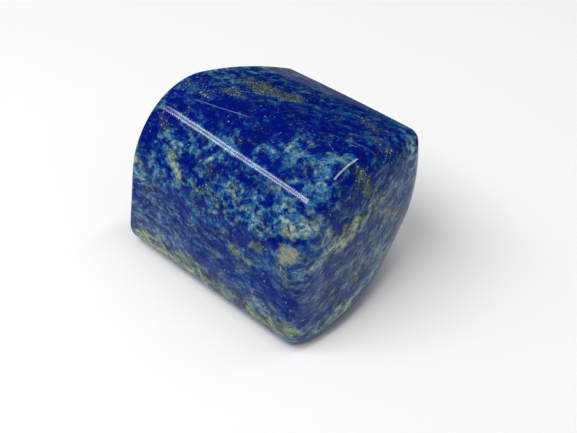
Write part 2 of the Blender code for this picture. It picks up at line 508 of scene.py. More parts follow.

# %% [markdown]
# ## Where the pattern goes
#
# Lapis is blue lazurite, white to grey-green calcite and diopside, and brassy pyrite, grown
# together. A rule can make that kind of rock, but not this one stone, so the bigger clouds are
# placed one by one. Each mark is a soft stroke between two pixels of the photograph, with a reach
# in millimetres and an amount. The strokes are laid on the stone where the camera sees them and
# kept as attributes of its points, and the material adds them to its own noise. Where the
# photograph can't see, a stroke runs between two places given in millimetres.
#
# First come the places where the rock is a purer blue, with next to none of the white minerals.
# They make the rock less pale, so their amounts are negative.

# %% Marks for pure blue rock
# A start or end of two numbers is a pixel of the photograph, and one of three numbers is a place
# on the stone in millimetres.
Mark = namedtuple("Mark", "name start end reach amount")
BLUE_MARKS = (
    Mark("pure blue along the top", (225, 112), (335, 128), 7.5, -0.36),
    Mark("deep blue all over the top", (200, 95), (370, 125), 16.0, -0.08),
    Mark("pure blue by the left shoulder", (150, 122), (176, 116), 3.5, -0.30),
    Mark("pure blue by the left rim", (146, 142), (158, 128), 3.0, -0.20),
    Mark("pure blue behind the short highlight", (326, 143), (372, 150), 3.8, -0.32),
    Mark("pure blue before the short highlight", (345, 176), (362, 160), 2.8, -0.28),
    Mark("blue gap under the ridge", (186, 160), (204, 178), 3.0, -0.26),
    Mark("blue gap behind the ridge", (224, 164), (250, 182), 3.2, -0.28),
    Mark("blue beside the streak under the far cloud", (158, 158), (167, 174), 2.6, -0.26),
    Mark("blue behind the mottles", (246, 140), (298, 132), 3.5, -0.38),
    Mark("blue before the big cloud", (264, 204), (280, 198), 2.2, -0.14),
    Mark("blue right of the ridge's near end", (314, 196), (322, 208), 2.4, -0.20),
    Mark("dark blue on the left front", (155, 196), (182, 208), 3.6, -0.14),
    Mark("dark blue across the front", (176, 226), (262, 246), 3.8, -0.20),
    Mark("blue beside the big cloud", (266, 236), (276, 244), 2.0, -0.22),
    Mark("blue over the big cloud", (300, 206), (304, 212), 1.6, -0.20),
    Mark("blue gap on the corner", (318, 240), (334, 228), 1.6, -0.12),
    Mark("blue gap under the cream spot", (298, 266), (312, 252), 1.5, -0.16),
    Mark("deeper blue on the lower front", (214, 252), (288, 300), 8.5, -0.12),
    Mark("deeper blue at the low corner", (262, 316), (296, 322), 5.0, -0.14),
    Mark("deeper blue low on the left front", (138, 190), (152, 226), 4.4, -0.15),
)
print("Places of pure blue:", len(BLUE_MARKS))

# %% [markdown]
# The white minerals come as clouds on the front, which is cut along the sheets of the rock, and
# as streaks over the corner of the near end, which is cut across them.

# %% Marks for clouds and streaks
CLOUD_MARKS = (
    Mark("paler front", (190, 195), (310, 232), 13.0, 0.06),
    Mark("cloud at the ridge's far end", (170, 134), (182, 146), 2.8, 0.26),
    Mark("streak under that cloud", (172, 156), (179, 178), 1.4, 0.40),
    Mark("second cloud under the ridge", (192, 150), (200, 166), 2.3, 0.28),
    Mark("third cloud under the ridge", (208, 160), (218, 158), 2.0, 0.20),
    Mark("mottles right of the ridge", (262, 150), (298, 152), 3.0, 0.15),
    Mark("cloud at the short highlight", (330, 168), (354, 158), 2.2, 0.08),
    Mark("pale blue by the ridge's near end", (298, 178), (326, 184), 3.2, 0.16),
    Mark("teal below the ridge's middle", (246, 186), (268, 206), 3.6, 0.06),
    Mark("big cloud on the front", (280, 212), (292, 232), 2.8, 0.32),
    Mark("core of the big cloud", (292, 234), (302, 230), 2.4, 0.30),
    Mark("arm of the big cloud", (306, 228), (330, 232), 2.2, 0.28),
    Mark("small cloud left of the big one", (250, 222), (266, 231), 2.4, 0.28),
    Mark("pale blue over the arm", (304, 216), (322, 216), 2.4, 0.14),
    Mark("cream spot", (283, 254), (294, 255), 3.2, 0.20),
    Mark("trail under the cream spot", (281, 264), (284, 284), 2.0, 0.24),
    Mark("first tan spot", (232, 248), (237, 253), 1.7, 0.30),
    Mark("second tan spot", (252, 245), (260, 247), 1.6, 0.26),
    Mark("third tan spot", (243, 259), (247, 262), 1.3, 0.26),
    Mark("rising streak on the corner", (300, 274), (334, 248), 2.4, 0.32),
    Mark("upper streak on the corner", (342, 244), (358, 222), 2.6, 0.36),
    Mark("yellowish patch under the ridge", (228, 186), (238, 198), 1.9, 0.34),
    Mark("grey clouds on the near end", (368, 196), (398, 232), 4.0, 0.16),
)
print("Clouds and streaks:", len(CLOUD_MARKS))

# %% [markdown]
# Along the lower rim, the left rim, the rim of the near end and the edges of the top, strokes of
# painted reflection make the stone paler and greyer: the haze that the polish shows where it
# turns away towards its pale surroundings. The far sides get a few clouds and blues of the
# pattern, so that the stone is as rich there.

# %% Marks for the painted haze of the rims, and for the sides out of sight
# Painted reflection, for the most part: pale strokes along the rims where the polish mirrors its
# pale surroundings.
PAINTED_RIM_HAZE_MARKS = (
    Mark("pale band at the left rim", (134, 152), (141, 178), 3.4, 0.34),
    Mark("lower end of that band", (142, 180), (154, 196), 3.0, 0.08),
    Mark("pale streaks below the band", (154, 200), (196, 226), 3.0, 0.03),
    Mark("thin pale edge at the left", (136, 138), (133, 162), 1.4, 0.30),
    Mark("pale lower rim, far half", (142, 237), (207, 281), 4.2, 0.32),
    Mark("pale lower rim, near half", (214, 287), (288, 334), 3.4, 0.20),
    Mark("patch near the low corner", (286, 322), (296, 328), 1.8, 0.26),
    Mark("pale rim of the near end", (412, 148), (412, 204), 3.2, 0.26),
    Mark("pale rim low on the near end", (400, 226), (350, 304), 3.2, 0.30),
    Mark("pale rim by the low corner", (344, 308), (318, 330), 3.8, 0.28),
    Mark("pale edge behind the top", (312, 76), (404, 124), 1.5, 0.20),
    Mark("pale right end of the top's edge", (386, 107), (406, 127), 2.0, 0.26),
    Mark("pale far edge of the top", (215, 70), (270, 67), 1.6, 0.18),
    Mark("teal patch at the far top", (248, 72), (274, 72), 2.6, 0.16),
)
HIDDEN_SIDE_MARKS = (
    Mark("pale band across the rear", (-24, 25, 12), (14, 27, 24), 5.0, 0.22),
    Mark("pure blue high on the rear", (-10, 25, 33), (18, 27, 32), 6.0, -0.28),
    Mark("cloud low on the rear", (-6, 26, 7), (6, 27, 9), 3.6, 0.30),
    Mark("pure blue on the far end", (-31, -14, 22), (-31, 2, 30), 7.0, -0.28),
    Mark("cloud on the far end", (-31, 6, 12), (-31, 14, 18), 4.0, 0.32),
    Mark("pale streaks on the heel", (22, 18, 8), (28, 2, 6), 3.5, 0.24),
    Mark("pale vein under the stone", (-20, 6, 0), (20, -8, 0), 3.0, 0.30),
)
print("Pale rims:", len(PAINTED_RIM_HAZE_MARKS), "and marks out of sight:", len(HIDDEN_SIDE_MARKS))

# %% [markdown]
# Iron stains the white minerals olive and cream. Along the rims the stain strokes also tint the
# painted haze there. Pyrite gathers in bands and spots. These two kinds of strokes choose the
# colours of the rock and the number of its golden specks.

# %% Marks for stains
STAIN_MARKS = (
    Mark("stained band on the top", (256, 84), (300, 100), 4.4, 0.34),
    Mark("stain over the clouds of the front", (200, 176), (322, 226), 9.0, 0.07),
    Mark("stain around the cream spot", (284, 254), (292, 255), 3.4, 0.40),
    Mark("stain under the cream spot", (280, 266), (286, 284), 2.4, 0.35),
    Mark("first tan spot", (232, 248), (237, 253), 1.9, 0.80),
    Mark("second tan spot", (252, 245), (260, 247), 1.8, 0.70),
    Mark("third tan spot", (243, 259), (247, 262), 1.4, 0.70),
    Mark("stained core of the big cloud", (288, 226), (302, 236), 3.0, 0.34),
    Mark("stained streak under the far cloud", (172, 152), (180, 178), 1.8, 0.40),
    Mark("yellowish patch under the ridge", (228, 186), (238, 198), 2.2, 0.40),
    # The next three lie on the rims: partly the rock's own olive, partly the tint of the painted
    # haze.
    Mark("stain at the left rim", (134, 160), (150, 196), 3.6, 0.22),
    Mark("stained lower rim, far half", (142, 237), (207, 281), 4.8, 0.85),
    Mark("stained lower rim, near half", (214, 287), (286, 332), 4.0, 0.70),
    Mark("yellow-green streak on the corner", (342, 240), (360, 218), 3.2, 0.50),
    Mark("olive clouds on the near end", (372, 198), (400, 228), 4.5, 0.26),
    Mark("brown under the short highlight", (358, 172), (368, 190), 3.2, 0.35),
    Mark("olive low on the near end", (328, 292), (362, 266), 5.0, 0.18),
    Mark("stain over the near end", (376, 190), (340, 286), 12.0, 0.07),
    # These two tint the painted haze at the low corner and behind the top.
    Mark("olive rim by the low corner", (350, 304), (318, 330), 3.8, 0.16),
    Mark("grey edge behind the top", (312, 76), (404, 124), 2.0, 0.08),
    Mark("stain low on the rear", (-16, 26, 8), (8, 27, 12), 5.0, 0.35),
    Mark("stain on the far end", (-31, 8, 8), (-31, 16, 16), 4.5, 0.35),
    Mark("stained vein under the stone", (-18, 6, 0), (12, -6, 0), 3.4, 0.35),
)
print("Stained places:", len(STAIN_MARKS))

# %% Marks for gold
GOLD_MARKS = (
    Mark("gold band on the top", (266, 91), (294, 98), 4.8, 1.00),
    Mark("gold band, far part", (250, 80), (264, 88), 4.6, 0.75),
    Mark("gold band, left part", (228, 90), (240, 94), 3.4, 0.70),
    Mark("dust along the far top", (205, 86), (300, 84), 7.0, 0.20),
    Mark("gold at the far shoulder", (186, 84), (206, 92), 3.6, 0.32),
    Mark("gold over the far edge", (176, 80), (186, 80), 2.6, 0.30),
    Mark("thin gold on the top right", (318, 94), (340, 98), 4.5, 0.34),
    Mark("gold on the right of the top", (362, 121), (376, 130), 3.6, 0.60),
    Mark("bright gold above the near end", (378, 139), (388, 150), 3.2, 0.65),
    Mark("little gold spot", (343, 133), (350, 137), 2.4, 0.40),
    Mark("brown patch on the near end", (361, 174), (368, 190), 3.2, 0.65),
    Mark("brown speck at the far edge", (160, 117), (166, 126), 2.2, 0.65),
    Mark("dark pit under the far cloud", (171, 150), (173, 155), 1.4, 1.10),
    Mark("brown spot under the ridge", (201, 160), (210, 168), 2.8, 0.70),
    Mark("green specks on the front", (205, 191), (215, 201), 3.0, 0.52),
    Mark("speck right of the ridge", (238, 138), (242, 142), 1.8, 0.40),
    Mark("dust in the middle of the top", (215, 112), (262, 120), 4.0, 0.08),
    Mark("first tan spot", (231, 248), (237, 253), 2.0, 0.50),
    Mark("second tan spot", (253, 244), (262, 248), 2.0, 0.45),
    Mark("third tan spot", (244, 259), (247, 262), 1.6, 0.55),
    Mark("glints on the left front", (187, 222), (194, 229), 1.8, 0.35),
    Mark("glints by the small cloud", (250, 226), (260, 229), 1.8, 0.30),
    Mark("olive under the cream spot", (281, 268), (285, 282), 1.8, 0.45),
    Mark("specks on the lower rim, far half", (142, 244), (206, 288), 3.0, 0.22),
    Mark("specks on the lower rim, near half", (226, 300), (280, 334), 3.0, 0.20),
    Mark("specks on the corner streak", (343, 231), (359, 221), 2.6, 0.30),
    Mark("specks low on the near end", (328, 292), (362, 266), 5.5, 0.12),
    Mark("dust low on the left front", (146, 200), (190, 226), 5.0, 0.14),
    Mark("gold band on the rear", (4, 27, 30), (20, 27, 20), 4.0, 0.50),
    Mark("gold on the far end", (-31, -4, 14), (-31, 2, 20), 3.4, 0.45),
    Mark("gold under the stone", (-6, -10, 0), (6, -4, 0), 3.4, 0.45),
)
print("Golden places:", len(GOLD_MARKS))

# %% [markdown]
# The last strokes say what the pattern is like: one cream spot, places where the blue is even,
# and places where the cut runs across the sheets of the rock and shows them as streaks.

# %% Marks for the cream spot, even blue and streaks
CREAM_MARKS = (
    Mark("cream spot", (284, 254), (292, 255), 3.4, 1.0),
)

EVEN_MARKS = (
    Mark("all over the top", (215, 100), (370, 128), 13.0, 0.40),
    Mark("rear half of the top", (310, 86), (398, 120), 6.0, 0.45),
    Mark("lower front", (190, 250), (290, 300), 10.0, 0.20),
)

STREAKY_MARKS = (
    Mark("lower front", (140, 215), (282, 310), 15.0, 1.4),
    Mark("near end, right half", (386, 200), (350, 280), 14.5, 1.7),
    Mark("near end, left half", (330, 240), (315, 300), 12.0, 1.0),
    Mark("rear half of the top", (310, 88), (398, 124), 7.0, 0.3),
    Mark("lower rear", (-26, 26, 10), (26, 24, 10), 14.0, 1.2),
    Mark("far end", (-31, 4, 10), (-31, 18, 14), 11.0, 1.0),
)

MARKS = {
    # Paleness sums the clouds and blues of the rock with the painted haze of the rims.
    "pale": BLUE_MARKS + CLOUD_MARKS + PAINTED_RIM_HAZE_MARKS + HIDDEN_SIDE_MARKS,
    "stained": STAIN_MARKS,
    "gold": GOLD_MARKS,
    "cream": CREAM_MARKS,
    "even": EVEN_MARKS,
    "streaky": STREAKY_MARKS,
}

# %% Lay the marks on the stone
def paint(attribute, marks):
    """Lay the marks on the stone, and keep their sum as an attribute of its points."""
    mesh = stone.data
    points = np.empty(len(mesh.vertices) * 3)
    mesh.vertices.foreach_get("co", points)
    points = points.reshape(-1, 3)
    total = np.zeros(len(points))
    for mark in marks:
        start, end = np.array(on_stone(mark.start)), np.array(on_stone(mark.end))
        stroke = end - start
        share = np.clip((points - start) @ stroke / (stroke @ stroke), 0.0, 1.0)
        distance = np.linalg.norm(points - start - share[:, None] * stroke, axis=1)
        nearness = np.clip(1.0 - (distance / (mark.reach * MM)) ** 2, 0.0, 1.0)
        total += mark.amount * nearness ** 2
    mesh.attributes.new(attribute, "FLOAT", "POINT").data.foreach_set("value", total)
    print(attribute, "marks:", len(marks), "from", round(total.min(), 2), "to",
          round(total.max(), 2))


for attribute, marks in MARKS.items():
    paint(attribute, marks)

# %% [markdown]
# ## Lapis lazuli, cut and polished
#
# The rock grew in thin sheets, its foliation, which dip towards the front. A cut along the
# sheets shows clots, and a cut across them shows fine streaks. A picture wrapped round the block
# would smear over its edges and show a seam. So the pattern is solid: it fills the rock, and the
# skin shows it wherever it cuts it. It is noise that is long within the sheets and short across
# them. Everything is measured in millimetres, in coordinates turned to lie along the sheets.
#
# Two small groups are used again and again. One adds a swing of stretched noise to a number, so
# that a list of layers can be laid over each other. The other pushes places about, which folds
# the sheets.

# %% A group for one layer of noise
def noise_layer_group():
    """A node group: a number plus stretched noise that swings about zero."""
    group = bpy.data.node_groups.new("one layer of noise", "ShaderNodeTree")
    sockets = group.interface
    sockets.new_socket("Place", in_out="INPUT", socket_type="NodeSocketVector")
    sockets.new_socket("Size", in_out="INPUT", socket_type="NodeSocketVector")
    for name in ("Before", "Detail", "Roughness", "Edge", "Swing"):
        sockets.new_socket(name, in_out="INPUT", socket_type="NodeSocketFloat")
    sockets.new_socket("After", in_out="OUTPUT", socket_type="NodeSocketFloat")
    given = add_node(group, "NodeGroupInput").outputs
    stretched = add_node(group, "ShaderNodeVectorMath", {0: given["Place"], 1: given["Size"]},
                         operation="DIVIDE")
    noise = add_node(group, "ShaderNodeTexNoise", {
        "Vector": stretched, "Scale": 1.0, "Detail": given["Detail"],
        "Roughness": given["Roughness"]})
    lowest = add_node(group, "ShaderNodeMath", {0: 0.5, 1: given["Edge"]}, operation="SUBTRACT")
    highest = add_node(group, "ShaderNodeMath", {0: 0.5, 1: given["Edge"]}, operation="ADD")
    patches = add_node(group, "ShaderNodeMapRange", {
        "Value": noise, "From Min": lowest, "From Max": highest, "To Min": -0.5, "To Max": 0.5},
        interpolation_type="SMOOTHSTEP")
    after = add_node(group, "ShaderNodeMath", {
        0: patches, 1: given["Swing"], 2: given["Before"]}, operation="MULTIPLY_ADD")
    add_node(group, "NodeGroupOutput", {"After": after})
    return group


NOISE_LAYER = noise_layer_group()
print("One layer of noise takes", len(NOISE_LAYER.nodes), "nodes")


# %% A group for one fold
def fold_group():
    """A node group: a place pushed about by stretched noise, up to a depth in millimetres."""
    group = bpy.data.node_groups.new("one fold of the sheets", "ShaderNodeTree")
    sockets = group.interface
    for name in ("Place", "Size", "Depth"):
        sockets.new_socket(name, in_out="INPUT", socket_type="NodeSocketVector")
    sockets.new_socket("Detail", in_out="INPUT", socket_type="NodeSocketFloat")
    sockets.new_socket("Folded", in_out="OUTPUT", socket_type="NodeSocketVector")
    given = add_node(group, "NodeGroupInput").outputs
    stretched = add_node(group, "ShaderNodeVectorMath", {0: given["Place"], 1: given["Size"]},
                         operation="DIVIDE")
    noise = add_node(group, "ShaderNodeTexNoise", {
        "Vector": stretched, "Scale": 1.0, "Detail": given["Detail"]}).outputs["Color"]
    about_zero = add_node(group, "ShaderNodeVectorMath", {0: noise, 1: (0.5, 0.5, 0.5)},
                          operation="SUBTRACT")
    folded = add_node(group, "ShaderNodeVectorMath", {
        0: about_zero, 1: given["Depth"], 2: given["Place"]}, operation="MULTIPLY_ADD")
    add_node(group, "NodeGroupOutput", {"Folded": folded})
    return group


FOLD = fold_group()
print("One fold takes", len(FOLD.nodes), "nodes")

# %% Coordinates along the foliation
FOLIATION = (math.radians(-26), math.radians(-4), 0.0)
PER_MM = (1 / MM, 1 / MM, 1 / MM)
lapis.use_nodes = True
rock = lapis.node_tree
shader = rock.nodes["Principled BSDF"]

from_object = add_node(rock, "ShaderNodeTexCoord").outputs["Object"]
in_mm = add_node(rock, "ShaderNodeMapping", {
    "Vector": from_object, "Rotation": FOLIATION, "Scale": PER_MM})
# Broad folds bend the sheets, as pressure deep in the ground does.
folded = add_node(rock, "ShaderNodeGroup", {
    "Place": in_mm, "Size": (24.0, 20.0, 14.0), "Depth": (5.0, 5.0, 6.0), "Detail": 1.0},
    node_tree=FOLD)
# Ripples crumple the clouds, and fraying draws out the ends of the streaks.
rippled = add_node(rock, "ShaderNodeGroup", {
    "Place": folded, "Size": (3.0, 3.0, 2.4), "Depth": (1.6, 1.6, 1.4), "Detail": 3.0},
    node_tree=FOLD)
frayed = add_node(rock, "ShaderNodeGroup", {
    "Place": folded, "Size": (1.8, 1.8, 1.6), "Depth": (1.4, 1.4, 0.9), "Detail": 2.0},
    node_tree=FOLD)
marked = {name: add_node(rock, "ShaderNodeAttribute", attribute_name=name).outputs["Fac"]
          for name in MARKS}
print("The sheets lean", [round(math.degrees(turn)) for turn in FOLIATION], "degrees")

# %% [markdown]
# ## Layers of the pattern
#
# Each layer is one size of cloud. The clotted rock of the top has round clouds, and the streaked
# rock low on the stone has flat ones. A layer's size is in millimetres, its edge says how
# sharply its clouds end, and its swing how much they count. The finest layer is the sugary grain
# of the crystals. Real crystals are finer still, but the library bakes colours into a picture
# whose pixels are an eighth of a millimetre wide, so the grain is drawn 0.8 mm wide, with
# smaller detail in it that the bake may blur.

# %% The layers
Layer = namedtuple("Layer", "name place size detail roughness edge swing")
CLOTTED_LAYERS = (
    Layer("clots", rippled, (3.0, 2.6, 2.0), 3, 0.55, 0.10, 0.34),
    Layer("small clots", rippled, (1.5, 1.4, 1.1), 2, 0.5, 0.13, 0.24),
    Layer("wisps", rippled, (5.0, 4.0, 1.6), 4, 0.6, 0.4, 0.40),
)
STREAKED_LAYERS = (
    Layer("bands", frayed, (4.6, 4.0, 1.7), 3, 0.55, 0.12, 0.34),
    Layer("threads", frayed, (2.4, 2.1, 0.7), 2, 0.5, 0.13, 0.28),
    Layer("soft bands", folded, (9.0, 8.0, 2.6), 3, 0.6, 0.4, 0.40),
)
SHARED_LAYERS = (
    Layer("sugary grain", in_mm, (0.8, 0.8, 0.7), 2, 0.65, 0.4, 0.34),
    Layer("broad regions", folded, (15.0, 12.0, 8.0), 1, 0.5, 0.4, 0.26),
)
print("Layers:", ", ".join(
    layer.name for layer in CLOTTED_LAYERS + STREAKED_LAYERS + SHARED_LAYERS))


# %% Lay layers over each other
def laid_over(before, layers):
    """Lay noise layers over a number, one after another, and return the last node."""
    for layer in layers:
        before = add_node(rock, "ShaderNodeGroup", {
            "Before": before, "Place": layer.place, "Size": layer.size, "Detail": layer.detail,
            "Roughness": layer.roughness, "Edge": layer.edge, "Swing": layer.swing},
            node_tree=NOISE_LAYER, label=layer.name)
    return before


# %% How pale the rock is
# The levels are how pale each kind of rock is before its clouds are laid over.
CLOTTED_LEVEL = 0.24
STREAKED_LEVEL = 0.38
EVEN_LEVEL = 0.22
# The cells that stand for single crystals are 0.8 mm wide, and differ by this much in paleness.
CRYSTALS_PER_MM = 1.3
CRYSTAL_SWING = 0.16
RAGGED = Layer("ragged marks", rippled, (1.7, 1.5, 1.2), 2, 0.6, 0.12, 1.1)

clotted = laid_over(CLOTTED_LEVEL, CLOTTED_LAYERS)
streaked = laid_over(STREAKED_LEVEL, STREAKED_LAYERS)
either = add_node(rock, "ShaderNodeMix", {0: marked["streaky"], 2: clotted, 3: streaked},
                  data_type="FLOAT")
ragged = laid_over(1.0, (RAGGED,))
# The pale marks bring in the clouds and blues of the rock and the painted haze of the rims.
with_marks = add_node(rock, "ShaderNodeMath", {0: marked["pale"], 1: ragged, 2: either},
                      operation="MULTIPLY_ADD")
cloudy = laid_over(with_marks, SHARED_LAYERS)
crystals = add_node(rock, "ShaderNodeTexVoronoi", {"Vector": frayed, "Scale": CRYSTALS_PER_MM})
shade = add_node(rock, "ShaderNodeSeparateColor", {0: crystals.outputs["Color"]})
lighter = add_node(rock, "ShaderNodeMath", {0: shade, 1: 0.5}, operation="SUBTRACT")
paleness = add_node(rock, "ShaderNodeMath", {0: lighter, 1: CRYSTAL_SWING, 2: cloudy},
                    operation="MULTIPLY_ADD")
paleness = add_node(rock, "ShaderNodeMix", {0: marked["even"], 2: paleness, 3: EVEN_LEVEL},
                    data_type="FLOAT")
print("Paleness takes", len(rock.nodes), "nodes so far")

# %% [markdown]
# ## Colours of the rock
#
# Three ramps run from dark to pale: pure ultramarine lazurite that whitens into teal, the greyer
# blue of the streaked sheets, and an olive to cream one where diopside and calcite are stained.
# One ramp would give every cloud the same colours, which real lapis doesn't have. Noise and the
# marks choose between the three.

# %% From paleness to three colours
PURE_STEPS = ((0.0, "#021272"), (0.12, "#071d78"), (0.26, "#0f3a7c"), (0.40, "#23598a"),
              (0.54, "#437496"), (0.70, "#6c93a2"), (0.86, "#97aba2"), (1.0, "#adb9a6"))
GREY_STEPS = ((0.0, "#0a2070"), (0.2, "#163376"), (0.36, "#2d4a80"), (0.5, "#475f8a"),
              (0.66, "#607a94"), (0.82, "#7f9298"), (1.0, "#a2ac9c"))
OLIVE_STEPS = ((0.0, "#0a1a50"), (0.18, "#1f2f58"), (0.38, "#42565e"), (0.56, "#637168"),
               (0.74, "#808b7c"), (0.9, "#939f8e"), (1.0, "#a6ae9a"))
ramps = []
for steps in (PURE_STEPS, GREY_STEPS, OLIVE_STEPS):
    ramp_node = add_node(rock, "ShaderNodeValToRGB", {"Fac": paleness})
    ramp = ramp_node.color_ramp
    ramp.elements.remove(ramp.elements[1])
    ramp.elements[0].position = steps[0][0]
    ramp.elements[0].color = linear(steps[0][1])
    for position, hex_code in steps[1:]:
        ramp.elements.new(position).color = linear(hex_code)
    ramps.append(ramp_node)
pure, grey, olive = ramps
print("Palest colours:", PURE_STEPS[-1][1], GREY_STEPS[-1][1], OLIVE_STEPS[-1][1])

# %% Choose between the colours
GREY_IN_STREAKS = 0.7
STAIN_STARTS = 0.02
STAIN_IS_FULL = 0.42
GREYER_SHEETS = Layer("greyer sheets", frayed, (4.0, 3.6, 1.8), 3, 0.6, 0.2, 0.7)
STAINED_SHEETS = Layer("stained sheets", rippled, (4.6, 4.0, 2.2), 3, 0.6, 0.2, 0.5)

greyness = add_node(rock, "ShaderNodeMath", {0: marked["streaky"], 1: GREY_IN_STREAKS},
                    operation="MULTIPLY")
greyness = add_node(rock, "ShaderNodeClamp", {"Value": laid_over(greyness, (GREYER_SHEETS,))})
body = add_node(rock, "ShaderNodeMix", {0: greyness, 6: pure, 7: grey}, data_type="RGBA")
ragged_stain = add_node(rock, "ShaderNodeMath", {0: marked["stained"], 1: ragged},
                        operation="MULTIPLY")
stain = add_node(rock, "ShaderNodeMapRange", {
    "Value": laid_over(ragged_stain, (STAINED_SHEETS,)), "From Min": STAIN_STARTS,
    "From Max": STAIN_IS_FULL})
body = add_node(rock, "ShaderNodeMix", {0: stain, 6: body, 7: olive}, data_type="RGBA")
print(f"Streaks are up to {GREY_IN_STREAKS:.0%} grey, and full stain is at {STAIN_IS_FULL}")

# %% [markdown]
# One spot on the front is nearly pure calcite, cream at its rim and faintly peach in the middle.
# It has a mark of its own, and noise frays its edge so that it looks grown and not painted.

# %% The one cream spot
CreamPart = namedtuple("CreamPart", "name starts full most hex_code")
CREAM_PARTS = (
    CreamPart("cream rim", 0.25, 0.95, 0.55, "#98a088"),
    CreamPart("peach middle", 0.75, 1.30, 0.45, "#b89c80"),
)
FRAYED_EDGE = Layer("edge of the cream spot", rippled, (1.3, 1.1, 0.8), 3, 0.6, 0.25, 0.8)
cream_edge = laid_over(marked["cream"], (FRAYED_EDGE,))
for part in CREAM_PARTS:
    share = add_node(rock, "ShaderNodeMapRange", {
        "Value": cream_edge, "From Min": part.starts, "From Max": part.full,
        "To Max": part.most})
    body = add_node(rock, "ShaderNodeMix", {0: share, 6: body, 7: linear(part.hex_code)},
                    data_type="RGBA")
    print(f"The {part.name} covers up to {part.most:.0%} of the rock's own colour")

# %% [markdown]
# ## Pyrite dust
#
# Where pyrite gathers, the blue turns olive and is full of specks about a third of a millimetre
# wide, some bright and some nearly black, as each tiny crystal catches the light or doesn't.
# There are far too many for pieces of their own, so they are colour in the rock: the cells of a
# Voronoi texture, each of which takes its own chance of being a speck. Real dust is finer. It is
# drawn this coarse to show at all, and to survive the bake described above.

# %% The olive veil of the dust
LEAST_GOLD = 0.24
VEIL = 0.75
SPECKS_PER_MM = 3.2
DUST_LAYERS = (
    Layer("dust places", rippled, (3.2, 2.8, 1.8), 4, 0.6, 0.3, 0.8),
    Layer("dust grain", in_mm, (0.7, 0.7, 0.7), 2, 0.6, 0.3, 0.5),
)
over_least = add_node(rock, "ShaderNodeMath", {0: marked["gold"], 1: LEAST_GOLD},
                      operation="SUBTRACT")
dust = add_node(rock, "ShaderNodeClamp", {"Value": laid_over(over_least, DUST_LAYERS)})
cells = add_node(rock, "ShaderNodeTexVoronoi", {"Vector": in_mm, "Scale": SPECKS_PER_MM})
chances = add_node(rock, "ShaderNodeSeparateColor", {0: cells.outputs["Color"]}).outputs
dusty_colour = add_node(rock, "ShaderNodeMix", {
    0: chances["Green"], 6: linear("#26353c"), 7: linear("#667a66")}, data_type="RGBA")
veil = add_node(rock, "ShaderNodeMath", {0: dust, 1: VEIL}, operation="MULTIPLY")
body = add_node(rock, "ShaderNodeMix", {0: veil, 6: body, 7: dusty_colour}, data_type="RGBA")
print("A speck is", round(1 / SPECKS_PER_MM, 2), "mm wide")

# %% Bright and dark specks: painted glints and painted shade
Speck = namedtuple("Speck", "name channel in_dust anywhere strength hex_code")
# The bright specks are painted glints of crystals that catch a lamp, and the dark ones painted
# shade of crystals that catch none.
SPECKS = (
    Speck("bright", "Red", 0.24, 0.0012, 0.8, "#8fa396"),
    Speck("dark", "Blue", 0.35, 0.02, 0.7, "#0a1430"),
)
for speck in SPECKS:
    chance = add_node(rock, "ShaderNodeMath", {0: dust, 1: speck.in_dust, 2: speck.anywhere},
                      operation="MULTIPLY_ADD")
    is_speck = add_node(rock, "ShaderNodeMath", {0: chances[speck.channel], 1: chance},
                        operation="LESS_THAN")
    share = add_node(rock, "ShaderNodeMath", {0: is_speck, 1: speck.strength},
                     operation="MULTIPLY")
    body = add_node(rock, "ShaderNodeMix", {0: share, 6: body, 7: linear(speck.hex_code)},
                    data_type="RGBA")
    print(f"In full dust {speck.in_dust + speck.anywhere:.0%} of the cells are {speck.name}")

# %% [markdown]
# ## Healed cracks
#
# A few cracks through the rock healed with white calcite. A thin ribbon laid on the skin would
# stand proud of the polish, but a healed crack is flush, so it is colour too. A crack is flat, so
# each is a plane through two places on the stone, and it shows as a hairline where the plane
# meets the skin. The distance from the plane wavers a little, and the line ends where the
# photograph's does. The lines are drawn 0.14 to 0.2 mm wide, which is wide enough to show.

# %% White hairlines
Hairline = namedtuple("Hairline", "name start end half_width strength")
HAIRLINES = (
    Hairline("long hairline on the top", (193, 99), (252, 118), 0.07, 0.45),
    Hairline("faint hairline by the near end", (344, 139), (376, 156), 0.10, 0.22),
    Hairline("faint hairline low on the near end", (374, 232), (368, 262), 0.10, 0.25),
)
for hairline in HAIRLINES:
    length = (on_stone(hairline.end) - on_stone(hairline.start)).length
    print(f"The {hairline.name} is {length / MM:.1f} mm long")

# %% Draw the hairlines
HEALED_WHITE = linear("#a9bccb")
WAVER = Layer("waver of the crack", in_mm, (2.5, 2.5, 2.5), 3, 0.6, 0.5, 0.5)
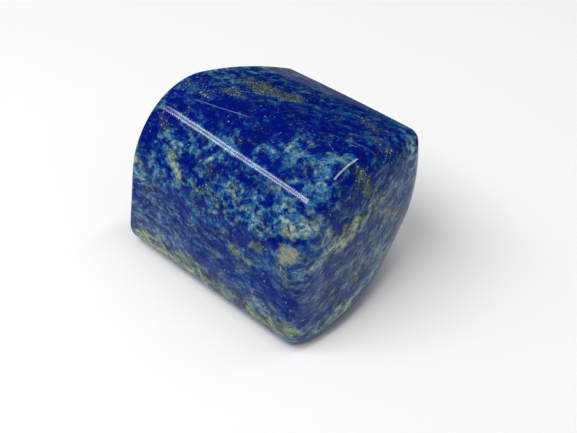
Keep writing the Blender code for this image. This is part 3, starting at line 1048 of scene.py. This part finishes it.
# A line fades out across its width between these shares of its half width, and along its length
# between these shares of its half length.
ACROSS_FADE = (0.4, 1.6)
ALONG_FADE = (0.8, 1.05)
for hairline in HAIRLINES:
    start, end = on_stone(hairline.start), on_stone(hairline.end)
    across = (end - start).cross(GRINDING_POINT - start).normalized()
    beside = add_node(rock, "ShaderNodeVectorMath", {0: from_object, 1: tuple(across / MM)},
                      operation="DOT_PRODUCT")
    offset = add_node(rock, "ShaderNodeMath", {0: beside, 1: start.dot(across) / MM},
                      operation="SUBTRACT")
    away = add_node(rock, "ShaderNodeMath", {0: laid_over(offset, (WAVER,))},
                    operation="ABSOLUTE")
    line = add_node(rock, "ShaderNodeMapRange", {
        "Value": away, "From Min": hairline.half_width * ACROSS_FADE[0],
        "From Max": hairline.half_width * ACROSS_FADE[1], "To Min": hairline.strength,
        "To Max": 0.0})
    from_middle = add_node(rock, "ShaderNodeVectorMath", {
        0: from_object, 1: tuple((start + end) / 2)}, operation="DISTANCE")
    half_length = (end - start).length / 2
    here = add_node(rock, "ShaderNodeMapRange", {
        "Value": from_middle, "From Min": half_length * ALONG_FADE[0],
        "From Max": half_length * ALONG_FADE[1], "To Min": 1.0, "To Max": 0.0})
    shown = add_node(rock, "ShaderNodeMath", {0: line, 1: here}, operation="MULTIPLY")
    body = add_node(rock, "ShaderNodeMix", {0: shown, 6: body, 7: HEALED_WHITE},
                    data_type="RGBA")
rock.links.new(body.outputs[2], shader.inputs["Base Color"])
print("The colour of the rock takes", len(rock.nodes), "nodes")

# %% [markdown]
# ## The polish
#
# Lapis lazuli is polished on felt with a fine oxide. This stone has no lacquer, so the gloss
# belongs to the rock itself and needs no coat over it. It is a glassy surface: lamps show as
# crisp shapes in it, and the pale ground lays a faint haze over its sides. The minerals differ in
# hardness, so the felt leaves a grain that is far too shallow to see, except that it makes the
# edges of a reflected lamp crawl a little. A bump about a thousandth of a millimetre high does it.

# %% Polish
POLISHED_GRAIN = Layer("polished grain", in_mm, (0.5, 0.5, 0.5), 2, 0.5, 0.5, 0.7)
GLASSY_ROUGHNESS = 0.06
LAZURITE_IOR = 1.5
BUMP_STRENGTH = 0.10
BUMP_DISTANCE = 0.02 * MM
shader.inputs["Roughness"].default_value = GLASSY_ROUGHNESS
shader.inputs["IOR"].default_value = LAZURITE_IOR
relief = laid_over(0.5, (POLISHED_GRAIN,))
bump = add_node(rock, "ShaderNodeBump", {
    "Strength": BUMP_STRENGTH, "Distance": BUMP_DISTANCE, "Height": relief})
rock.links.new(bump.outputs[0], shader.inputs["Normal"])
bump_height = BUMP_STRENGTH * BUMP_DISTANCE * POLISHED_GRAIN.swing
print("The bump is", round(bump_height / MM, 4), "mm high at most")

# %% [markdown]
# ## Grains of pyrite
#
# The bigger pyrite crystals are real pieces of metal in the rock, ground flush with it. As mere
# colour they would shine like the stone, so they are pieces of their own. A Geometry Nodes tree
# scatters them over the stone, thickest where the gold marks lie and in clusters of their own.
# Each is a flat prism with five sides, sunk into the stone so that only its cap shows. Crystals
# face all ways, so each keeps a random tilt that its material adds to the direction of its cap:
# that is what makes some grains flash and others stay dark. Each random draw has a fixed seed.

# %% The sizes of the grains
GRAIN_SIZES = {
    "Grains per square metre": 8.0e6,
    "Share outside the marks": 0.0015,
    "Least gold": 0.2,
    "Cluster width": 4.0 * MM,
    # Grains begin where the noise passes the edge of a cluster, and are thickest at its heart.
    "Cluster edge": 0.52,
    "Cluster heart": 0.72,
    "Smallest radius": 0.04 * MM,
    "Biggest radius": 0.12 * MM,
    # A random share of the radius is raised to this power, so that most grains are small.
    "How few are big": 2.5,
    # Each grain is made this much narrower or wider along each of its two sides.
    "Narrowest": 0.7,
    "Widest": 1.3,
    "Sides": 5,
    "Depth in the rock": 0.10 * MM,
    # A real grain is flush. This is just enough for its cap to show over the skin.
    "Height over the rock": 0.006 * MM,
    "Lowest grain": 0.6 * MM,
    "Low corner": Vector(CAD_BOX[0]),
    "High corner": Vector(CAD_BOX[1]),
    "Seed of places": 7,
    "Seed of turns": 1,
    "Seed of sizes": 2,
    "Seed of outlines": 3,
    "Seed of tilts": 4,
}
print("Grains are", 2 * GRAIN_SIZES["Smallest radius"] / MM, "to",
      2 * GRAIN_SIZES["Biggest radius"] / MM, "mm wide")


# %% Where the grains lie
def grain_density(tree, given, place):
    """How many grains lie at a place: clusters of noise, where the gold marks are strong."""
    gold = add_node(tree, "GeometryNodeInputNamedAttribute", {"Name": "gold"}, data_type="FLOAT")
    pitch = add_node(tree, "ShaderNodeMath", {0: 1.0, 1: given["Cluster width"]},
                     operation="DIVIDE")
    noise = add_node(tree, "ShaderNodeTexNoise", {
        "Vector": place, "Scale": pitch, "Detail": 3.0, "Roughness": 0.65})
    clusters = add_node(tree, "ShaderNodeMapRange", {
        "Value": noise, "From Min": given["Cluster edge"], "From Max": given["Cluster heart"]})
    in_gold = add_node(tree, "ShaderNodeMapRange", {
        "Value": gold.outputs[0], "From Min": given["Least gold"], "From Max": 1.0})
    in_marks = add_node(tree, "ShaderNodeMath", {0: in_gold, 1: clusters},
                        operation="MULTIPLY")
    outside = add_node(tree, "ShaderNodeMath", {
        0: clusters, 1: given["Share outside the marks"], 2: in_marks},
        operation="MULTIPLY_ADD")
    return add_node(tree, "ShaderNodeMath", {
        0: outside, 1: given["Grains per square metre"]}, operation="MULTIPLY")


# %% What a grain is like
def sunk_prism(tree, given):
    """A prism of radius one and depth one, with its cap at zero."""
    prism = add_node(tree, "GeometryNodeMeshCylinder", {
        "Vertices": given["Sides"], "Radius": 1.0, "Depth": 1.0}, fill_type="NGON")
    return add_node(tree, "GeometryNodeTransform", {
        "Geometry": prism.outputs["Mesh"], "Translation": (0.0, 0.0, -0.5)})


def grain_size(tree, given):
    """A random size for each grain: most are small, and each is wider one way."""
    chance = add_node(tree, "FunctionNodeRandomValue", {"Seed": given["Seed of sizes"]},
                      data_type="FLOAT")
    mostly_small = add_node(tree, "ShaderNodeMath", {0: chance, 1: given["How few are big"]},
                            operation="POWER")
    radius = add_node(tree, "ShaderNodeMapRange", {
        "Value": mostly_small, "To Min": given["Smallest radius"],
        "To Max": given["Biggest radius"]})
    least = add_node(tree, "ShaderNodeCombineXYZ", {
        "X": given["Narrowest"], "Y": given["Narrowest"]})
    most = add_node(tree, "ShaderNodeCombineXYZ", {"X": given["Widest"], "Y": given["Widest"]})
    stretch = add_node(tree, "FunctionNodeRandomValue", {
        "Min": least, "Max": most, "Seed": given["Seed of outlines"]}, data_type="FLOAT_VECTOR")
    wide = add_node(tree, "ShaderNodeVectorMath", {0: stretch, "Scale": radius},
                    operation="SCALE")
    deep = add_node(tree, "ShaderNodeCombineXYZ", {"Z": given["Depth in the rock"]})
    return add_node(tree, "ShaderNodeVectorMath", {0: wide, 1: deep}, operation="ADD")


# %% The tree of the pyrite grains
def grains_tree():
    """The Geometry Nodes tree that scatters grains over the carrier's mesh."""
    tree = bpy.data.node_groups.new("pyrite grains", "GeometryNodeTree")
    open_inputs(tree, GRAIN_SIZES)
    tree.interface.new_socket("Stone", in_out="INPUT", socket_type="NodeSocketGeometry")
    tree.interface.move(tree.interface.items_tree["Stone"], 0)
    given = add_node(tree, "NodeGroupInput").outputs

    place = add_node(tree, "GeometryNodeInputPosition")
    height = add_node(tree, "ShaderNodeSeparateXYZ", {0: place}).outputs["Z"]
    above = add_node(tree, "FunctionNodeCompare", {0: height, 1: given["Lowest grain"]},
                     operation="GREATER_THAN")
    spread = add_node(tree, "GeometryNodeDistributePointsOnFaces", {
        "Mesh": given["Stone"], "Selection": above,
        "Density": grain_density(tree, given, place), "Seed": given["Seed of places"]})
    lift = add_node(tree, "ShaderNodeVectorMath", {
        0: spread.outputs["Normal"], "Scale": given["Height over the rock"]},
        operation="SCALE")
    flush = add_node(tree, "GeometryNodeSetPosition", {
        "Geometry": spread.outputs["Points"], "Offset": lift})

    turn = add_node(tree, "FunctionNodeRandomValue", {
        "Max": (0.0, 0.0, math.tau), "Seed": given["Seed of turns"]}, data_type="FLOAT_VECTOR")
    turned = add_node(tree, "FunctionNodeRotateRotation", {
        "Rotation": spread.outputs["Rotation"], "Rotate By": turn}, rotation_space="LOCAL")
    grains = add_node(tree, "GeometryNodeInstanceOnPoints", {
        "Points": flush, "Instance": sunk_prism(tree, given), "Rotation": turned,
        "Scale": grain_size(tree, given)})

    tilt = add_node(tree, "FunctionNodeRandomValue", {
        "Min": (-1.0, -1.0, -1.0), "Max": (1.0, 1.0, 1.0), "Seed": given["Seed of tilts"]},
        data_type="FLOAT_VECTOR")
    tilted = add_node(tree, "GeometryNodeStoreNamedAttribute", {
        "Geometry": grains, "Name": "tilt", "Value": tilt}, data_type="FLOAT_VECTOR",
        domain="INSTANCE")
    real = add_node(tree, "GeometryNodeRealizeInstances", {"Geometry": tilted})

    # No grain may pass the box of the CAD solid.
    corner = add_node(tree, "GeometryNodeInputPosition")
    not_over = add_node(tree, "ShaderNodeVectorMath", {0: corner, 1: given["High corner"]},
                        operation="MINIMUM")
    not_under = add_node(tree, "ShaderNodeVectorMath", {0: not_over, 1: given["Low corner"]},
                         operation="MAXIMUM")
    levelled = add_node(tree, "GeometryNodeSetPosition", {
        "Geometry": real, "Position": not_under})
    dressed = add_node(tree, "GeometryNodeSetMaterial", {
        "Geometry": levelled, "Material": given["Material"]})
    add_node(tree, "NodeGroupOutput", {"Geometry": dressed})
    return tree


# %% Scatter the grains
pyrite = bpy.data.materials.new("pyrite_ground_flush")
grains = made_by(grains_tree(), "pyrite_grains", GRAIN_SIZES, pyrite, carrier=stone)
print("Pyrite grains:", len(grains.data.vertices) // (2 * GRAIN_SIZES["Sides"]))

# %% [markdown]
# ## Pyrite, ground flush
#
# Pyrite is a pale brassy sulphide that reflects like a metal. It is much harder than the minerals
# round it, but full of tiny pits, so its shine is broader than the stone's. A grain looks like a
# chip of brass: bright where it faces a lamp, and dull grey elsewhere.

# %% The material of the grains
# How far the tilt may push the direction of the cap, which is one long.
LEAN = 0.55
# A random shade is raised to this power, so that most grains are dull.
HOW_FEW_ARE_BRIGHT = 4.0
PITTED_ROUGHNESS = 0.42
DULL_BRASS = linear("#78796a")
BRIGHT_BRASS = linear("#eeede0")
pyrite.use_nodes = True
metal = pyrite.node_tree
crystal = metal.nodes["Principled BSDF"]
crystal.inputs["Metallic"].default_value = 1.0
crystal.inputs["Roughness"].default_value = PITTED_ROUGHNESS
tilt = add_node(metal, "ShaderNodeAttribute", attribute_name="tilt").outputs["Vector"]
cap = add_node(metal, "ShaderNodeNewGeometry").outputs["Normal"]
leaning = add_node(metal, "ShaderNodeVectorMath", {0: tilt, 1: (LEAN, LEAN, LEAN), 2: cap},
                   operation="MULTIPLY_ADD")
facing = add_node(metal, "ShaderNodeVectorMath", {0: leaning}, operation="NORMALIZE")
metal.links.new(facing.outputs[0], crystal.inputs["Normal"])
tone = add_node(metal, "ShaderNodeSeparateXYZ", {0: tilt}).outputs["X"]
shade = add_node(metal, "ShaderNodeMapRange", {"Value": tone, "From Min": -1.0, "From Max": 1.0})
few_bright = add_node(metal, "ShaderNodeMath", {0: shade, 1: HOW_FEW_ARE_BRIGHT},
                      operation="POWER")
brass = add_node(metal, "ShaderNodeMix", {0: few_bright, 6: DULL_BRASS, 7: BRIGHT_BRASS},
                 data_type="RGBA")
metal.links.new(brass.outputs[2], crystal.inputs["Base Color"])
most_lean = math.atan2(LEAN * math.sqrt(2), 1 - LEAN)
print("A grain's shine leans up to", round(math.degrees(most_lean)), "degrees from its cap")

# %% [markdown]
# ## The floor, and what the polish mirrors
#
# The stone stands on a plain white floor of matt board, which scatters light evenly and shows no
# shine of its own. A polished stone also mirrors what lies around it. In the photograph that is
# a grey haze over the lower sides, brightest where they come down to the foot. So two level
# sheets are there for the mirror image alone, a pale one under the stone and a darker one all
# round it. The camera never sees them, and they neither light nor shade anything.

# %% Floor
MATT_ROUGHNESS = 0.9


def level_sheet(name, corner, far_corner, height, hex_code):
    """A flat matt sheet between two corners, in millimetres."""
    (left, near), (right, far) = corner, far_corner
    mesh = bpy.data.meshes.new(name)
    outline = [(left, near), (right, near), (right, far), (left, far)]
    mesh.from_pydata([(x * MM, y * MM, height * MM) for x, y in outline], [], [(0, 1, 2, 3)])
    sheet = bpy.data.objects.new(name, mesh)
    bpy.context.scene.collection.objects.link(sheet)
    board = bpy.data.materials.new(f"matt_board_{name}")
    board.use_nodes = True
    surface = board.node_tree.nodes["Principled BSDF"]
    surface.inputs["Base Color"].default_value = linear(hex_code)
    surface.inputs["Roughness"].default_value = MATT_ROUGHNESS
    surface.inputs["Specular IOR Level"].default_value = 0.0
    mesh.materials.append(board)
    sheet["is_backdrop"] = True
    print(f"{name}: {right - left} by {far - near} mm")
    return sheet


floor = level_sheet("floor", (-1500, -1500), (1500, 1500), height=0.0, hex_code="#fbfbfa")
floor.visible_glossy = False
MIRRORED = (
    level_sheet("mirrored_table", (-700, -700), (700, 700), height=0.05, hex_code="#7a7a7a"),
    level_sheet("mirrored_paper", (-90, -47), (76, 110), height=0.10, hex_code="#c8c8c6"),
)
for sheet in MIRRORED:
    sheet.visible_camera = False
    sheet.visible_diffuse = False
    sheet.visible_shadow = False

# %% [markdown]
# ## Lamps
#
# Two thin tubes hang side by side beyond the far end of the stone, and the rounded edge between
# its top and its front draws them out into the two silver lines of the long highlight. A
# reflector between the tubes fills the gap. The window makes the short cream highlight over the
# near end, and a pale wall gives that end its lilac veil. These lamps are chosen for what they
# look like in the polish. The soft light itself comes from a softbox and a ceiling lamp that the
# polish doesn't show.

# %% A lamp between two points
def lamp(name, start, end, width, watts, hex_code="#ffffff"):
    """A long lamp between two points in millimetres, facing the stone."""
    start, end = Vector(start) * MM, Vector(end) * MM
    data = bpy.data.lights.new(name, "AREA")
    data.shape = "RECTANGLE"
    data.size = (end - start).length
    data.size_y = width * MM
    data.energy = watts
    data.color = linear(hex_code)[:3]
    along = (end - start).normalized()
    facing = (start + end) / 2 - GRINDING_POINT
    facing = (facing - facing.dot(along) * along).normalized()
    light = bpy.data.objects.new(name, data)
    bpy.context.scene.collection.objects.link(light)
    light.matrix_world = Matrix((along, facing.cross(along), facing)).transposed().to_4x4()
    light.location = (start + end) / 2
    return light


# %% Hang the lamps
COOL_WHITE = "#dcefff"
CREAM_WHITE = "#fbffd2"
lamp("first_tube", (-500, -206, 500), (-368, -361, 500), width=9, watts=0.075,
     hex_code=COOL_WHITE)
lamp("second_tube", (-518, -258, 500), (-382, -399, 500), width=9, watts=0.075,
     hex_code=COOL_WHITE)
lamp("tube_reflector", (-509, -232, 500), (-375, -380, 500), width=42, watts=0.07,
     hex_code=COOL_WHITE)
lamp("tube_cap", (-364, -352, 500), (-386, -420, 500), width=7, watts=0.02)
window = lamp("window", (90, 527, 700), (100, -50, 700), width=95, watts=1.3,
              hex_code=CREAM_WHITE)
ceiling = lamp("ceiling", (90, 527, 700), (100, -50, 700), width=75, watts=1.1)
wall = lamp("pale_wall", (600, -500, 90), (600, 500, 90), width=180, watts=0.12)
softbox = lamp("softbox", (-500, -300, 700), (300, -500, 700), width=500, watts=4.7)
for only_mirrored in (window, wall):
    only_mirrored.visible_diffuse = False
for only_soft in (ceiling, softbox):
    only_soft.visible_glossy = False
lamps = [item.name for item in bpy.context.scene.objects if item.type == "LIGHT"]
print("Lamps:", ", ".join(lamps))

# %% [markdown]
# A white studio fills the shadows from all round. It is kept out of the polish, which would
# otherwise turn milky, and colours are shown as they are, without a film curve.

# %% Studio
STUDIO_STRENGTH = 0.32
world = bpy.data.worlds.new("studio")
bpy.context.scene.world = world
world.use_nodes = True
backdrop = world.node_tree.nodes["Background"]
backdrop.inputs["Color"].default_value = linear("#ffffff")
backdrop.inputs["Strength"].default_value = STUDIO_STRENGTH
world.cycles_visibility.glossy = False
bpy.context.scene.view_settings.view_transform = "Standard"
print("Strength of the studio's light:", STUDIO_STRENGTH)

# %% [markdown]
# ## Hand over
#
# The block and its grains ride on the one body of the part and stand in for its one solid. The
# two boxes are written down to show that the looks stay inside the solid that the library
# measures.

# %% Hand over
for piece in (stone, grains):
    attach(piece, "root")
    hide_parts("lapis_stone")
boxes = {"cad": CAD_BOX, "visual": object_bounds()}
for name, box in boxes.items():
    print(name, "box in mm:", [[round(value / MM, 2) for value in corner] for corner in box])
